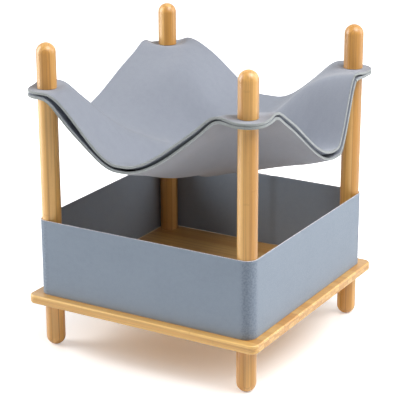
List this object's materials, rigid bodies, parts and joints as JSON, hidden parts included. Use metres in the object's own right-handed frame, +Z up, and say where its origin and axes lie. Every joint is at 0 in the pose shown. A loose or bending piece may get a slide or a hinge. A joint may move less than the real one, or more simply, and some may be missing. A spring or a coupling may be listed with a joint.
{
  "type": "cat condo",
  "caption": "Square bamboo board on round feet with a low felt wall round its posts and a two-layer felt hammock clamped at the corners by unscrewing dome caps.",
  "frame": {"origin": "on the floor, under the middle of the board", "axes": "+Z up, -Y out of the front, +X to the right seen from the front"},
  "size_m": [0.4623, 0.4617, 0.5535],
  "materials": {
    "bamboo_board": "satin clear coat on laminated bamboo",
    "bamboo_rod": "satin clear coat on laminated bamboo rod",
    "insert_brass": "bare",
    "stud_steel": "zinc plated",
    "wall_felt": "pressed grey felt",
    "hammock_felt": "pressed light grey felt"
  },
  "bodies": {
    "frame": {"base_board": "bamboo_board", "foot_front_left": "bamboo_rod", "foot_front_right": "bamboo_rod", "foot_back_right": "bamboo_rod", "foot_back_left": "bamboo_rod", "post_front_left": "bamboo_rod", "post_front_right": "bamboo_rod", "post_back_right": "bamboo_rod", "post_back_left": "bamboo_rod", "foot_insert_front_left": "insert_brass", "foot_insert_front_right": "insert_brass", "foot_insert_back_right": "insert_brass", "foot_insert_back_left": "insert_brass", "post_insert_front_left": "insert_brass", "post_insert_front_right": "insert_brass", "post_insert_back_right": "insert_brass", "post_insert_back_left": "insert_brass", "foot_stud_front_left": "stud_steel", "foot_stud_front_right": "stud_steel", "foot_stud_back_right": "stud_steel", "foot_stud_back_left": "stud_steel", "cap_stud_front_left": "stud_steel", "cap_stud_front_right": "stud_steel", "cap_stud_back_right": "stud_steel", "cap_stud_back_left": "stud_steel", "wall_band": "wall_felt", "hammock_upper_felt": "hammock_felt", "hammock_lower_felt": "hammock_felt"},
    "cap_lift_front_left": {"cap_insert_front_left": "insert_brass"},
    "cap_lift_front_right": {"cap_insert_front_right": "insert_brass"},
    "cap_lift_back_right": {"cap_insert_back_right": "insert_brass"},
    "cap_lift_back_left": {"cap_insert_back_left": "insert_brass"},
    "cap_knob_front_left": {"cap_front_left": "bamboo_rod"},
    "cap_knob_front_right": {"cap_front_right": "bamboo_rod"},
    "cap_knob_back_right": {"cap_back_right": "bamboo_rod"},
    "cap_knob_back_left": {"cap_back_left": "bamboo_rod"}
  },
  "joints": [
    {"name": "cap_rise_front_left", "type": "slide", "parent": "frame", "child": "cap_lift_front_left", "axis": [0, 0, 1], "range_m": [0, 0.01501]},
    {"name": "cap_rise_front_right", "type": "slide", "parent": "frame", "child": "cap_lift_front_right", "axis": [0, 0, 1], "range_m": [0, 0.01501]},
    {"name": "cap_rise_back_right", "type": "slide", "parent": "frame", "child": "cap_lift_back_right", "axis": [0, 0, 1], "range_m": [0, 0.01501]},
    {"name": "cap_rise_back_left", "type": "slide", "parent": "frame", "child": "cap_lift_back_left", "axis": [0, 0, 1], "range_m": [0, 0.01501]},
    {"name": "cap_turn_front_left", "type": "hinge", "parent": "cap_lift_front_left", "child": "cap_knob_front_left", "pos_m": [-0.1956, -0.1956, 0.4745], "axis": [0, 0, 1], "range_deg": [0, 4320]},
    {"name": "cap_turn_front_right", "type": "hinge", "parent": "cap_lift_front_right", "child": "cap_knob_front_right", "pos_m": [0.1956, -0.1956, 0.4745], "axis": [0, 0, 1], "range_deg": [0, 4320]},
    {"name": "cap_turn_back_right", "type": "hinge", "parent": "cap_lift_back_right", "child": "cap_knob_back_right", "pos_m": [0.1956, 0.1956, 0.4745], "axis": [0, 0, 1], "range_deg": [0, 4320]},
    {"name": "cap_turn_back_left", "type": "hinge", "parent": "cap_lift_back_left", "child": "cap_knob_back_left", "pos_m": [-0.1956, 0.1956, 0.4745], "axis": [0, 0, 1], "range_deg": [0, 4320]}
  ],
  "couplings": [
    {"joint": "cap_rise_front_left", "follows": "cap_turn_front_left", "m_per_rad": 0.00019894},
    {"joint": "cap_rise_front_right", "follows": "cap_turn_front_right", "m_per_rad": 0.00019894},
    {"joint": "cap_rise_back_right", "follows": "cap_turn_back_right", "m_per_rad": 0.00019894},
    {"joint": "cap_rise_back_left", "follows": "cap_turn_back_left", "m_per_rad": 0.00019894}
  ]
}
